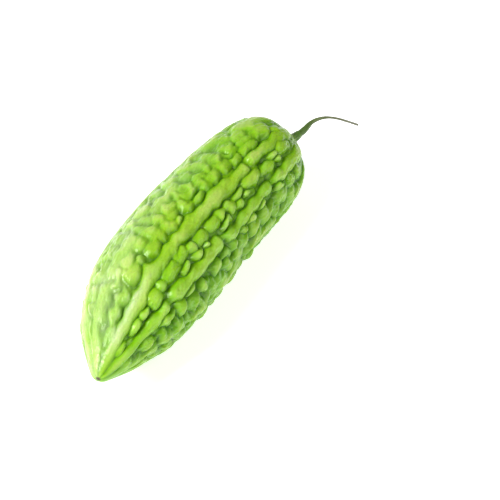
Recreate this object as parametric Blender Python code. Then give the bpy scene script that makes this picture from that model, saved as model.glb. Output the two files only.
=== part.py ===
"""A bitter gourd as picked, lying on its side: the ridged and warty fruit, and the stem it hung from.

Metres, +Z up. +X runs from the blossom tip to the stem, and the origin is on the flat spot that the fruit
rests on, under its weight. "Along" is the distance over the skin from the blossom tip, and "round" the angle
about the fruit's own curved axis: 0 degrees is its +Y side, and 90 degrees its top.
"""

import math
import random

import bmesh
import bpy
import numpy as np
from mathutils import Vector

MM = 0.001

# The fruit's axis, which bows sideways: points along it and across it, in millimetres, and how high it lies
# above the surface that the fruit rests on
AXIS_LINE = [(0, 2.0), (20, 6.0), (40, 9.7), (80, 12.1), (120, 11.6), (160, 8.9), (200, 4.8), (237, -4.7)]
AXIS_HEIGHT = 33.5 * MM
# Where on that plan the flat spot under the fruit's weight is
REST_ALONG_AXIS = 122 * MM
REST_ACROSS_AXIS = 9.8 * MM

# The skin over the tops of the ridges: distance along the axis and radius, in millimetres
SKIN_PROFILE = [
    (3, 0), (3.5, 2.4), (5, 4.8), (9, 7.8), (14, 11.4), (20.5, 15.6), (28.5, 20.2), (37.5, 24.4), (50, 29.2),
    (65, 33.0), (85, 35.2), (110, 35.5), (135, 35.3), (160, 34.8), (180, 34.0), (196, 32.4), (207, 29.6),
    (215, 24.8), (220.5, 18.0), (224.2, 11.0), (227.2, 6.0), (231, 3.6), (237, 2.6),
]
NECK_END = 237 * MM

# Relief: how deep the creases go, and over what lengths that depth fades in at the tip and out at the neck
CREASE_DEPTH = 6.0 * MM
TIP_CREASE_SHARE = 0.05
TIP_FADE = (4 * MM, 36 * MM)
NECK_CREASE_SHARE = 0.10
SHOULDER_FADE = (60 * MM, 20 * MM)
NECK_FADE = (8 * MM, 4 * MM)
# The side round which the relief is lower and its lumps run into each other: where it is and how far it
# reaches from there, in degrees, the part of that reach over which it fades, and the share of the depth
# that is left
SOFT_SIDE = 48
SOFT_SIDE_REACH = 62
SOFT_SIDE_FADE = (0.55, 1)
SOFT_SIDE_SHARE = 0.62
# The far side and the underside, where the lumps are less regular, given in the same way
UNDER_SIDE = 245
UNDER_SIDE_REACH = 95
UNDER_SIDE_FADE = (0.78, 1)
# Ridges and beads are domes that reach past their own edge, so that neighbours meet in a crease between
# them. The union powers are how sharply they stay apart, in general and on the soft side, and the last
# value is the greatest height where they add up
DOME_REACH = 1.28
DOME_ROUNDNESS = 2.4
DOME_POWER = 0.72
UNION_POWER = 12
SOFT_UNION_POWER = 2.6
UNDER_UNION_POWER = 4
TALLEST = 1.06

# Ridges: their angles round the fruit, in degrees, and their half width
RIDGE_ANGLES = [356, 30, 68, 109, 146, 189, 221, 253, 288, 322]
RIDGE_HALF_WIDTH = 4.4 * MM
RIDGE_WIDTH_SHARES = {1: 1.2}
RIDGE_CROWDING = 0.94
RIDGE_WIDTH_STEP = 13 * MM
RIDGE_WIDTH_SPREAD = (0.76, 1.16)
RIDGE_HEIGHT_SPREAD = (0.8, 1.04)
RIDGE_WANDER_STEP = 30 * MM
RIDGE_WANDER = 2.4
# The three ridges that show best: (along the axis, angle, half width) at places along each
SEEN_RIDGES = {
    2: [(0, 68, 3), (20, 64, 4), (40, 65, 5.2), (60, 68, 6), (80, 70, 6), (100, 69, 5), (120, 70, 5.4),
        (140, 69, 5), (160, 70, 5.6), (180, 70, 5), (205, 72, 5.6), (237, 70, 4)],
    3: [(0, 108, 3), (20, 111, 3.6), (30, 113.5, 3.9), (44, 113.5, 4.8), (50, 111, 4.2), (60, 109.2, 5.1),
        (66, 107.5, 5.8), (71, 110.3, 4.3), (80, 111, 4.6), (88, 109.7, 3.8), (100, 111.2, 5.1),
        (110, 111, 5.3), (120, 112, 4.2), (127, 112.7, 4.5), (134, 111.5, 5.6), (141, 112, 5.6),
        (150, 113.5, 4.6), (160, 114, 3.8), (170, 112, 4.4), (180, 112.5, 3.6), (190, 114, 4.6),
        (205, 113, 4.6), (237, 110, 4)],
    4: [(0, 150, 3), (20, 151, 3), (30, 151, 3.4), (40, 148, 4), (50, 146, 3.4), (56, 144, 3.1),
        (63, 143.5, 4.9), (72, 144.5, 4.6), (80, 146, 3.8), (88, 146, 4.4), (100, 146, 4.6),
        (111, 145, 4.8), (118, 149, 3.6), (125, 151, 3.8), (135, 149, 3.9), (150, 147.5, 3.8),
        (165, 146.5, 3.6), (172, 146, 3), (178, 147, 3.2), (188, 148, 4), (205, 147.5, 4.4), (237, 147, 4)],
}
# Notches that break a ridge into lengths: where along the fruit they are, in millimetres
SEEN_NOTCHES = {1: [], 2: [50, 92, 133, 166], 3: [168], 4: [56, 115, 173], 5: [40, 62, 85, 128, 170]}
NOTCH_HALF_LENGTH = 2.6 * MM
NOTCH_DEPTH = 0.5

# Beads: the warts between the ridges. These are the ones that show: (along, round, half length, half width)
SEEN_BEADS = [
    # left of the top ridge
    (23, 95, 6.6, 3.2), (33, 90, 7, 3.4), (43.5, 94, 6.6, 4.2), (56.5, 88.5, 7, 5.6), (66, 92, 3.6, 2.8),
    (77.5, 94.5, 6, 4.7), (86.5, 92.5, 5.2, 4.8), (96, 94.5, 5.2, 4.6), (104, 90, 4.8, 3.6),
    (103, 99, 4.4, 2.4), (114.8, 93, 5.2, 4.9), (125, 99, 6, 2.9), (126.5, 89, 5.6, 3.4),
    (135.5, 93, 4.6, 4.8), (145, 94.5, 5.6, 4.8), (156, 94, 5.4, 4.8), (165.5, 98.5, 4.8, 3.8),
    (169, 91, 6.4, 2.4), (179.5, 99.5, 8.6, 3.6), (183, 91.5, 7, 2.6), (198, 93, 8.4, 6),
    (209, 103, 4.6, 3), (52, 77, 5, 2.4), (64, 80, 5, 3), (76, 82, 5.4, 3), (88, 82.5, 4.8, 3.4),
    (97.5, 82.5, 4.4, 3.8), (108, 81.5, 4.8, 3.6), (119.5, 81.5, 4.8, 3.6), (129.5, 81, 4.6, 3.6),
    (139.5, 83.5, 4.4, 3.4), (149, 82, 4.8, 3.6), (159.5, 83.5, 5, 3.6), (171, 82.5, 5.2, 3.6),
    (184, 82, 5.8, 3.8), (197, 80, 5.6, 3.4), (92, 58, 5.6, 4), (104, 56, 5, 3.6), (131, 58, 6, 4),
    (147, 57, 5.6, 4.2), (176, 58, 6.4, 4),
    # between the two ridges that face the viewer
    (18, 130, 4.6, 2.3), (31, 130, 6, 2.8), (40, 128.5, 4, 2.6), (50.5, 127, 6, 5.4), (59, 124.5, 4, 3.6),
    (70, 124, 8.6, 4.6), (79.5, 134.5, 4.6, 2.8), (84.5, 122, 6.8, 4.4), (92.5, 134.5, 4.6, 2.6),
    (92.5, 126, 3.8, 3.4), (103, 127.5, 6.4, 4.6), (102, 137, 3.4, 1.5), (116, 127.5, 5.6, 4),
    (125.5, 126.5, 5.2, 3.4), (124.5, 138, 6, 2.5), (135, 129, 4.6, 3.8), (142, 135.5, 4.6, 2.9),
    (146, 127, 6, 2.4), (152, 133.5, 3.6, 1.8), (162, 126, 8.4, 3.9), (178, 131, 7.6, 3.2),
    (190, 132, 3.4, 2), (188, 125, 5, 2.2), (200, 126, 8.5, 4.2),
    # right of them
    (16, 172, 4.4, 2.4), (31, 169.5, 7, 3.8), (43, 176, 4.4, 5.4), (48.5, 158, 6, 3), (54, 176, 5.6, 4.6),
    (61, 160, 5.6, 4.6), (66, 181, 5, 4), (72, 154.5, 4.4, 1.9), (71.5, 169, 5.8, 4.8),
    (83, 162.5, 5.2, 4.4), (80, 179, 6, 4.4), (93, 175, 8, 5.4), (99.5, 160.5, 6.2, 3.6),
    (103, 183, 7, 4.6), (110, 170.5, 5.2, 3.8), (111.5, 159.5, 5, 2.9), (121, 161.5, 4.8, 3.8),
    (121, 174, 6, 4.8), (134.5, 158, 3.8, 2.2), (131, 169, 5.6, 5), (144, 167.5, 5.8, 5.2),
    (144, 156.5, 4.4, 2.4), (139, 182, 6, 4), (157, 155.5, 4.4, 2.3), (157.5, 167, 8.4, 5.2),
    (150, 182, 6, 4.4), (168, 178, 6, 4.6), (176, 167, 8.6, 5), (177, 156.5, 6, 2.2), (190.5, 163, 6, 4.6),
    (188, 179, 6, 4.6), (203, 164, 5.6, 4.6),
]
SEEN_VALLEYS = (2, 3, 4)
# How much larger than they show the beads are under the folds between them
BEAD_GROWTH = 1.08
# Hollows where the skin dips more than the beads alone make it, given in the same way, and how far it dips
SEEN_HOLLOWS = [
    (24, 75, 7, 2.4), (38, 81, 6, 1.8), (48, 93, 2.6, 3.2), (69, 98, 3, 3.4), (108.5, 96, 2.6, 2.8),
    (119, 58, 6, 3), (127, 94, 6, 1.2), (133, 74, 4.4, 3), (166, 92, 5.4, 1.6), (168, 68, 6, 4),
    (84, 72, 3, 3), (101, 68, 3, 2.6), (115.5, 76.5, 3.4, 2.2), (144, 73, 2.6, 3), (154, 64, 3.4, 2.4),
    (185, 70, 3.4, 3), (193.5, 104, 4, 2.4), (50, 169, 2, 4), (81, 173, 3, 3), (116, 151.5, 2.6, 3),
    (192, 24, 12, 11),
]
HOLLOW_DEPTH = 0.5
BEADS_START = 13 * MM
BEADS_END = 214 * MM
BEAD_LENGTH = (8 * MM, 16 * MM)
SMALL_BEAD_LENGTH = (6 * MM, 11 * MM)
SMALL_BEAD_HALF_WIDTH = (2.4 * MM, 3.4 * MM)
SEED = 7

# Grains: small close-set warts on the valley floors. Their pitch along the fruit, how many go round it, how
# far each strays from the middle of its cell and reaches, in cells, and how high it stands
GRAIN_PITCH = 7.2 * MM
GRAINS_ROUND = 31
GRAIN_SHIFT = 0.24
GRAIN_REACH = 0.68
GRAIN_HEIGHT = 0.4
GRAIN_HEIGHT_SPREAD = 0.1

# Gentle waves that keep ridges and beads from being regular: how far they shift the beads, the share of
# that by which they shift the ridges, their shortest and longest length, and how many there are
WAVE_SHIFT = 0.5 * MM
SOFT_WAVE_GAIN = 0.8
UNDER_WAVE_GAIN = 0.8
RIDGE_WAVE_SHARE = 0.8
WAVE_LENGTH = (9 * MM, 24 * MM)
WAVES = 12

# Stem: its root in the fruit's neck, and its path beyond the neck, in millimetres from the neck's end
STEM_ROOT_DEPTH = 5 * MM
STEM_ROOT_RADIUS = 1.5 * MM
STEM_FIT_GAP = 0.3 * MM
STEM_PATH = [(0, 0, 0), (5.3, -1.2, 0.2), (12.7, -2.1, 0.6), (18, -4.8, 0.8), (22.7, -8.8, 0.2),
             (26.3, -14.3, -1.2), (29.1, -20.5, -3.4), (32.2, -26.9, -6.2)]
STEM_RADII = [2.3, 2.0, 1.5, 1.05, 0.8, 0.7, 0.68, 0.72]

# Mesh sizes
FINE_SEGMENTS = 260
FINE_RINGS = 300
FRUIT_TRIANGLES = 10800


def clear_scene():
    for obj in list(bpy.data.objects):
        bpy.data.objects.remove(obj, do_unlink=True)


def material(name, colour, roughness):
    made = bpy.data.materials.new(name)
    made.use_nodes = True
    shader = made.node_tree.nodes["Principled BSDF"]
    shader.inputs["Base Color"].default_value = (*colour, 1)
    shader.inputs["Roughness"].default_value = roughness
    shader.inputs["Metallic"].default_value = 0
    return made


def collection(name):
    made = bpy.data.collections.new(name)
    bpy.context.scene.collection.children.link(made)
    return made


def smooth_curve(points, steps):
    """Points on a Catmull-Rom curve through the given ones, with so many steps between each two."""
    points = np.asarray(points, float)
    ends = np.vstack([2 * points[0] - points[1], points, 2 * points[-1] - points[-2]])
    t = np.linspace(0, 1, steps, endpoint=False)[:, None]
    spans = []
    for a, b, c, d in zip(ends[:-3], ends[1:-2], ends[2:-1], ends[3:]):
        spans.append(0.5 * (2 * b + (c - a) * t + (2 * a - 5 * b + 4 * c - d) * t**2
                            + (3 * b - a - 3 * c + d) * t**3))
    return np.vstack([*spans, points[-1:]])


def smooth_step(low, high, value):
    """0 before low, 1 after high and a smooth rise between, or the other way round if low is above high."""
    t = np.clip((value - low) / (high - low), 0, 1)
    return t * t * (3 - 2 * t)


def turned(degrees):
    """An angle brought to between -180 and 180 degrees."""
    return (degrees + 180) % 360 - 180


class Skin:
    """The skin over the ridge tops, as a turned profile measured along its own length."""

    def __init__(self):
        profile = np.vstack([smooth_curve(SKIN_PROFILE, 24) * MM, (NECK_END, 0)])
        steps = np.linalg.norm(np.diff(profile, axis=0), axis=1)
        self.along = np.concatenate([[0], np.cumsum(steps)])
        self.length = self.along[-1]
        self.axial, self.radius = profile.T
        slope = np.gradient(profile, self.along, axis=0)
        self.out_axial, self.out_radial = -slope[:, 1], slope[:, 0]

    def at(self, along):
        """Distance along the axis, radius, and the outward direction's two parts, at each distance along."""
        rows = (self.axial, self.radius, self.out_axial, self.out_radial)
        return [np.interp(along, self.along, row) for row in rows]


def softness(degrees):
    """1 in the middle of the soft side, and 0 off it."""
    return 1 - smooth_step(*SOFT_SIDE_FADE, np.abs(turned(degrees - SOFT_SIDE)) / SOFT_SIDE_REACH)


def underness(degrees):
    """1 in the middle of the underside, and 0 off it."""
    return 1 - smooth_step(*UNDER_SIDE_FADE, np.abs(turned(degrees - UNDER_SIDE)) / UNDER_SIDE_REACH)


def crease_depth(along, degrees, length):
    """How deep the creases go at each place: less towards the tip, on the soft side and at the neck."""
    left = length - along
    at_side = 1 - (1 - SOFT_SIDE_SHARE) * softness(degrees)
    at_tip = TIP_CREASE_SHARE + (1 - TIP_CREASE_SHARE) * smooth_step(*TIP_FADE, along)
    at_shoulder = NECK_CREASE_SHARE + (1 - NECK_CREASE_SHARE) * (1 - smooth_step(*SHOULDER_FADE, left))
    return CREASE_DEPTH * at_side * at_tip * at_shoulder * (1 - smooth_step(*NECK_FADE, left))


class Ridge:
    """One ridge from the blossom tip to the neck, which strays from its angle and swells and narrows."""

    def __init__(self, index, length, draw):
        strays = [draw.gauss(0, RIDGE_WANDER) for _ in range(int(length / RIDGE_WANDER_STEP) + 2)]
        widths = [draw.uniform(*RIDGE_WIDTH_SPREAD) for _ in range(int(length / RIDGE_WIDTH_STEP) + 2)]
        heights = [draw.uniform(*RIDGE_HEIGHT_SPREAD) for _ in widths]
        first = draw.uniform(45, 95)
        notches = SEEN_NOTCHES.get(index, [first, first + draw.uniform(40, 60), first + 100])
        self.notches = [place * MM for place in notches]
        half_width = RIDGE_HALF_WIDTH * RIDGE_WIDTH_SHARES.get(index, 1)
        self.centres = self.course(RIDGE_WANDER_STEP, [RIDGE_ANGLES[index] + stray for stray in strays])
        self.half_widths = self.course(RIDGE_WIDTH_STEP, [half_width * width for width in widths])
        self.heights = self.course(RIDGE_WIDTH_STEP, heights)
        if index in SEEN_RIDGES:
            seen = smooth_curve(SEEN_RIDGES[index], 6)
            self.centres = seen[:, 0] * MM, seen[:, 1]
            self.half_widths = seen[:, 0] * MM, seen[:, 2] * MM

    def course(self, step, values):
        """A smooth run of values at even steps along the axis, as places and values to read between."""
        curve = smooth_curve([[place * step, value] for place, value in enumerate(values)], 8)
        return curve[:, 0], curve[:, 1]

    def centre(self, axial):
        return np.interp(axial, *self.centres)

    def half_width(self, axial):
        return np.interp(axial, *self.half_widths)

    def height(self, axial):
        whole = np.interp(axial, *self.heights)
        for place in self.notches:
            whole = whole * (1 - NOTCH_DEPTH * np.exp(-(((axial - place) / NOTCH_HALF_LENGTH) ** 2)))
        return whole


def make_ridges(length):
    draw = random.Random(SEED)
    return [Ridge(index, length, draw) for index in range(len(RIDGE_ANGLES))]


def string_beads(index, ridges, skin):
    """The beads of the valley after a ridge: (along, round, half length, half width, height) of each."""
    draw = random.Random(SEED * 100 + index)
    lower, upper = ridges[index], ridges[(index + 1) % len(ridges)]
    lean = draw.choice((-1, 1))
    end = min(BEADS_END, skin.length)
    beads = []

    def valley(along):
        """The valley's middle in degrees, its half width, and metres per degree, all at one place."""
        axial, radius = (float(value) for value in skin.at(along)[:2])
        start = lower.centre(axial)
        across = turned(upper.centre(axial) - start) % 360
        per_degree = math.radians(1) * radius
        lower_half, upper_half = lower.half_width(axial), upper.half_width(axial)
        clear = across * per_degree - lower_half - upper_half
        middle = start + across / 2 + (lower_half - upper_half) / 2 / per_degree
        return middle, max(clear / 2, 0.4 * MM), per_degree

    place = BEADS_START
    while place < end:
        length = draw.uniform(*BEAD_LENGTH)
        along = place + length / 2
        middle, room, per_degree = valley(along)
        half_width = min(room * draw.uniform(0.8, 1.05), 5.4 * MM)
        aside = lean * (room - half_width) * draw.uniform(0.5, 1.1)
        height = draw.uniform(0.8, 1.0) * (0.75 + 0.25 * min(1, length / (12 * MM)))
        beads.append((along, middle + aside / per_degree, length / 2, half_width, height))
        place += length

    place = BEADS_START + 24 * MM
    while place < end:
        length = draw.uniform(*SMALL_BEAD_LENGTH)
        along = place + length / 2
        middle, room, per_degree = valley(along)
        half_width = min(draw.uniform(*SMALL_BEAD_HALF_WIDTH), room * 0.6)
        aside = -lean * (room - half_width * 0.75)
        beads.append((along, middle + aside / per_degree, length / 2, half_width, draw.uniform(0.62, 0.85)))
        place += length * draw.uniform(1.0, 1.5)
    return beads


def make_beads(ridges, skin):
    draw = random.Random(SEED * 7)
    beads = []
    for axial, angle, half_length, half_width in SEEN_BEADS:
        along = np.interp(axial * MM, skin.axial, skin.along)
        size = BEAD_GROWTH * MM
        beads.append((along, angle, half_length * size, half_width * size, draw.uniform(0.84, 1.0)))
    for index in range(len(ridges)):
        if index not in SEEN_VALLEYS:
            beads += string_beads(index, ridges, skin)
    return beads


def dome(distance):
    """A round-topped height at a distance from its middle, where 1 is the dome's edge and a crease's line."""
    return np.maximum(1 - (np.abs(distance) / DOME_REACH) ** DOME_ROUNDNESS, 0) ** DOME_POWER


def grains(along, degrees, skin):
    """Small close-set warts, one to each cell of an uneven grid, which fill what the others leave bare."""
    rows = int(skin.length / GRAIN_PITCH)
    draw = np.random.default_rng(SEED)
    shift_along, shift_round, size, height = draw.uniform(-1, 1, (4, rows + 2, GRAINS_ROUND))
    row_place = along / skin.length * rows
    round_place = np.mod(degrees, 360) / 360 * GRAINS_ROUND
    tallest = np.zeros_like(along)
    for row_step in (-1, 0, 1):
        row = np.clip(np.floor(row_place).astype(int) + row_step, 0, rows + 1)
        stagger = 0.5 * (row % 2)
        for round_step in (-1, 0, 1):
            column = np.floor(round_place - stagger).astype(int) + round_step
            cell = (row, column % GRAINS_ROUND)
            lengthwise = row_place - (row + 0.5 + GRAIN_SHIFT * shift_along[cell])
            across = round_place - stagger - (column + 0.5 + GRAIN_SHIFT * shift_round[cell])
            reach = GRAIN_REACH * (1 + 0.2 * size[cell])
            wart = GRAIN_HEIGHT + GRAIN_HEIGHT_SPREAD * height[cell]
            tallest = np.maximum(tallest, wart * dome(np.hypot(lengthwise, across) / reach))
    return tallest


def waves(along, degrees):
    """A gentle seeded shift of the skin's pattern, lengthwise and crosswise, in metres."""
    draw = random.Random(SEED * 31)
    shifts = [np.zeros_like(along), np.zeros_like(along)]
    for shift in shifts:
        for _ in range(WAVES):
            pitch = draw.uniform(*WAVE_LENGTH)
            turns = draw.randint(2, 20)
            phase = draw.uniform(0, 2 * math.pi)
            shift += WAVE_SHIFT * np.sin(2 * math.pi * along / pitch + turns * np.radians(degrees) + phase)
        shift *= math.sqrt(2 / WAVES)
    return shifts


def relief(along, degrees, skin):
    """How high the skin stands at each place, as a share: 0 in a crease, and about 1 on a ridge."""
    axial, radius = skin.at(along)[:2]
    per_degree = np.maximum(np.radians(1) * radius, 0.02 * MM)
    lengthwise_shift, crosswise_shift = waves(along, degrees)
    soft, under = softness(degrees), underness(degrees)
    fade = smooth_step(5 * MM, 40 * MM, along) * (1 + SOFT_WAVE_GAIN * soft + UNDER_WAVE_GAIN * under)
    turn = crosswise_shift * fade / np.maximum(per_degree, 0.1 * MM)
    ridges = make_ridges(skin.length)
    power = UNION_POWER + (SOFT_UNION_POWER - UNION_POWER) * soft + (UNDER_UNION_POWER - UNION_POWER) * under
    total = np.zeros_like(along)
    for ridge in ridges:
        reach = np.minimum(ridge.half_width(axial), 180 / len(ridges) * per_degree * RIDGE_CROWDING)
        across = turned(degrees + turn * RIDGE_WAVE_SHARE - ridge.centre(axial)) * per_degree
        total += (ridge.height(axial) * dome(across / reach)) ** power
    along = along + lengthwise_shift * fade
    degrees = degrees + turn
    total += grains(along, degrees, skin) ** power
    for place, angle, half_length, half_width, height in make_beads(ridges, skin):
        near = np.abs(along - place) < half_length * DOME_REACH
        lengthwise = (along[near] - place) / half_length
        across = turned(degrees[near] - angle) * per_degree[near] / half_width
        total[near] += (height * dome(np.hypot(lengthwise, across))) ** power[near]
    raised = np.minimum(total ** (1 / power), TALLEST)
    for place, angle, half_length, half_width in SEEN_HOLLOWS:
        lengthwise = (along - np.interp(place * MM, skin.axial, skin.along)) / (half_length * MM)
        across = turned(degrees - angle) * per_degree / (half_width * MM)
        raised = raised * (1 - HOLLOW_DEPTH * np.exp(-(lengthwise**2) - across**2))
    return raised


def bow(axial):
    """How far the axis lies to the +Y side at each distance along it, and its slope there."""
    along, across = smooth_curve(AXIS_LINE, 12).T * MM
    return np.interp(axial, along, across), np.interp(axial, along, np.gradient(across, along))


def place_on_axis(axial, radius, degrees):
    """World points at those distances along the bowed axis, radii and angles round it."""
    across, slope = bow(axial)
    size = np.hypot(1, slope)
    angle = np.radians(degrees)
    sideways = radius * np.cos(angle)
    return np.stack([
        axial - REST_ALONG_AXIS - sideways * slope / size,
        across - REST_ACROSS_AXIS + sideways / size,
        AXIS_HEIGHT + radius * np.sin(angle),
    ], axis=-1)


def fruit_points(along, degrees, skin):
    axial, radius, out_axial, out_radial = skin.at(along)
    carved = crease_depth(along, degrees, skin.length) * (1 - relief(along, degrees, skin))
    return place_on_axis(axial - out_axial * carved, radius - out_radial * carved, degrees)


def fruit_mesh(segments, rings):
    """The fruit's skin, as a sphere whose vertices are moved on to it, with its poles at tip and neck."""
    skin = Skin()
    bm = bmesh.new()
    bmesh.ops.create_uvsphere(bm, u_segments=segments, v_segments=rings, radius=1)
    ball = np.array([v.co for v in bm.verts])
    along = np.arccos(np.clip(ball[:, 2], -1, 1)) / math.pi * skin.length
    degrees = np.degrees(np.arctan2(ball[:, 1], ball[:, 0]))
    for vert, point in zip(bm.verts, fruit_points(along, degrees, skin)):
        vert.co = point
    bmesh.ops.recalc_face_normals(bm, faces=bm.faces)
    mesh = bpy.data.meshes.new("fruit")
    bm.to_mesh(mesh)
    bm.free()
    return mesh


def cut(obj, cutter):
    modifier = obj.modifiers.new(cutter.name, "BOOLEAN")
    modifier.operation = "DIFFERENCE"
    modifier.object = cutter
    cutter.hide_render = True
    cutter.display_type = "WIRE"


def move_to(obj, group):
    for other in obj.users_collection:
        other.objects.unlink(obj)
    group.objects.link(obj)


def neck_end():
    """The middle of the neck's end face, and the direction in which the axis leaves it."""
    end = Vector(place_on_axis(NECK_END, 0, 0))
    return end, Vector((1, bow(NECK_END)[1], 0)).normalized()


def make_fruit(group, cutters):
    fruit = bpy.data.objects.new("fruit", fruit_mesh(FINE_SEGMENTS, FINE_RINGS))
    group.objects.link(fruit)
    fruit.data.materials.append(material("gourd_skin", (0.30, 0.56, 0.08), 0.35))
    thin = fruit.modifiers.new("fewer faces", "DECIMATE")
    thin.ratio = FRUIT_TRIANGLES / (2 * FINE_SEGMENTS * (FINE_RINGS - 1))

    # The flat spot: everything below the surface that the fruit lies on is cut away
    depth = 20 * MM
    bpy.ops.mesh.primitive_cube_add(size=1, location=(0, 0, -depth / 2))
    under = bpy.context.object
    under.name = "surface_cutter"
    under.scale = (2 * NECK_END, NECK_END, depth)
    bpy.ops.object.transform_apply(location=False, rotation=False, scale=True)
    move_to(under, cutters)
    cut(fruit, under)

    # The socket in the neck that the stem's root sits in
    end, direction = neck_end()
    deep = STEM_ROOT_DEPTH + STEM_FIT_GAP
    bpy.ops.mesh.primitive_cylinder_add(vertices=16, radius=STEM_ROOT_RADIUS + STEM_FIT_GAP, depth=2 * deep,
                                        location=end, rotation=direction.to_track_quat("Z", "Y").to_euler())
    socket = bpy.context.object
    socket.name = "stem_socket_cutter"
    move_to(socket, cutters)
    cut(fruit, socket)
    return fruit


def make_stem(group):
    """The stem as one tapering tube, from its root in the neck to its dry cut end."""
    end, direction = neck_end()
    path = smooth_curve(STEM_PATH, 4) * MM + np.array(end + direction * STEM_FIT_GAP)
    radii = smooth_curve([[r] for r in STEM_RADII], 4)[:, 0] * MM
    root = np.array([end - direction * STEM_ROOT_DEPTH, end + direction * STEM_FIT_GAP * 0.8])
    path = np.vstack([root, path])
    radii = np.concatenate([[STEM_ROOT_RADIUS, STEM_ROOT_RADIUS], radii])
    curve = bpy.data.curves.new("stem", "CURVE")
    curve.dimensions = "3D"
    curve.bevel_depth = 1
    curve.bevel_resolution = 3
    curve.use_fill_caps = True
    spline = curve.splines.new("POLY")
    spline.points.add(len(path) - 1)
    for point, place, radius in zip(spline.points, path, radii):
        point.co = (*place, 1)
        point.radius = radius
    stem = bpy.data.objects.new("stem", curve)
    group.objects.link(stem)
    curve.materials.append(material("gourd_stem", (0.16, 0.22, 0.05), 0.6))
    return stem


def main():
    clear_scene()
    group = collection("bitter_gourd")
    cutters = collection("cutters")
    make_fruit(group, cutters)
    make_stem(group)


if __name__ == "__main__":
    main()
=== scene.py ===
"""The looks of a bitter gourd: its warty skin at full fineness, its stem, and the studio round it.

Metres, +Z up, in the part's own frame. "Along" is the distance over the skin from the blossom tip, and
"round" the angle about the fruit's own curved axis: 0 degrees is its +Y side, and 90 degrees its top.
"""

import math
import random

import bmesh
import bpy
import numpy as np
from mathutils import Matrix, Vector


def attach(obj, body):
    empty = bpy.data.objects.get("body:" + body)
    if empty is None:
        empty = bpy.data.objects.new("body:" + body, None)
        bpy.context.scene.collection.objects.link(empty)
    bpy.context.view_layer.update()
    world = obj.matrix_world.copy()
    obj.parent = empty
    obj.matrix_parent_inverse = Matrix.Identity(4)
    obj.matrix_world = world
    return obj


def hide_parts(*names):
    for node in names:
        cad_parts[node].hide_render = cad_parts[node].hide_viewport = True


MM = 0.001

# The fruit's axis, which bows sideways: points along it and across it, in millimetres, and how high it lies
# above the surface that the fruit rests on
AXIS_LINE = [(0, 2.0), (20, 6.0), (40, 9.7), (80, 12.1), (120, 11.6), (160, 8.9), (200, 4.8), (237, -4.7)]
AXIS_HEIGHT = 33.5 * MM
# Where on that plan the flat spot under the fruit's weight is
REST_ALONG_AXIS = 122 * MM
REST_ACROSS_AXIS = 9.8 * MM

# The skin over the tops of the ridges: distance along the axis and radius, in millimetres
SKIN_PROFILE = [
    (3, 0), (3.5, 2.4), (5, 4.8), (9, 7.8), (14, 11.4), (20.5, 15.6), (28.5, 20.2), (37.5, 24.4), (50, 29.2),
    (65, 33.0), (85, 35.2), (110, 35.5), (135, 35.3), (160, 34.8), (180, 34.0), (196, 32.4), (207, 29.6),
    (215, 24.8), (220.5, 18.0), (224.2, 11.0), (227.2, 6.0), (231, 3.6), (237, 2.6),
]
NECK_END = 237 * MM

# Relief: how deep the creases go, and over what lengths that depth fades in at the tip and out at the neck
CREASE_DEPTH = 6.0 * MM
TIP_CREASE_SHARE = 0.05
TIP_FADE = (4 * MM, 36 * MM)
NECK_CREASE_SHARE = 0.10
SHOULDER_FADE = (60 * MM, 20 * MM)
NECK_FADE = (8 * MM, 4 * MM)
# The side round which the relief is lower and its lumps run into each other: where it is and how far it
# reaches from there, in degrees, the part of that reach over which it fades, and the share of the depth
# that is left
SOFT_SIDE = 48
SOFT_SIDE_REACH = 62
SOFT_SIDE_FADE = (0.55, 1)
SOFT_SIDE_SHARE = 0.62
# The far side and the underside, where the lumps are less regular and the skin gets painted shade, given in
# the same way
UNDER_SIDE = 245
UNDER_SIDE_REACH = 95
UNDER_SIDE_FADE = (0.78, 1)
# Ridges and beads are domes that reach past their own edge, so that neighbours meet in a crease between
# them. The union powers are how sharply they stay apart in general, on the soft side and underneath, and
# the last value is the greatest height where they add up
DOME_REACH = 1.28
DOME_ROUNDNESS = 2.4
DOME_POWER = 0.72
UNION_POWER = 12
SOFT_UNION_POWER = 2.6
UNDER_UNION_POWER = 4
TALLEST = 1.06

# Ridges: their angles round the fruit, in degrees, their half width, the ridges with another share of it, and
# how much of the room between its neighbours one may take. Then the steps along the axis at which its width
# and height vary, and between what shares, and those at which it strays, and by how many degrees
RIDGE_ANGLES = [356, 30, 68, 109, 146, 189, 221, 253, 288, 322]
RIDGE_HALF_WIDTH = 4.4 * MM
RIDGE_WIDTH_SHARES = {1: 1.2}
RIDGE_CROWDING = 0.94
RIDGE_WIDTH_STEP = 13 * MM
RIDGE_WIDTH_SPREAD = (0.76, 1.16)
RIDGE_HEIGHT_SPREAD = (0.8, 1.04)
RIDGE_WANDER_STEP = 30 * MM
RIDGE_WANDER = 2.4
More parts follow.
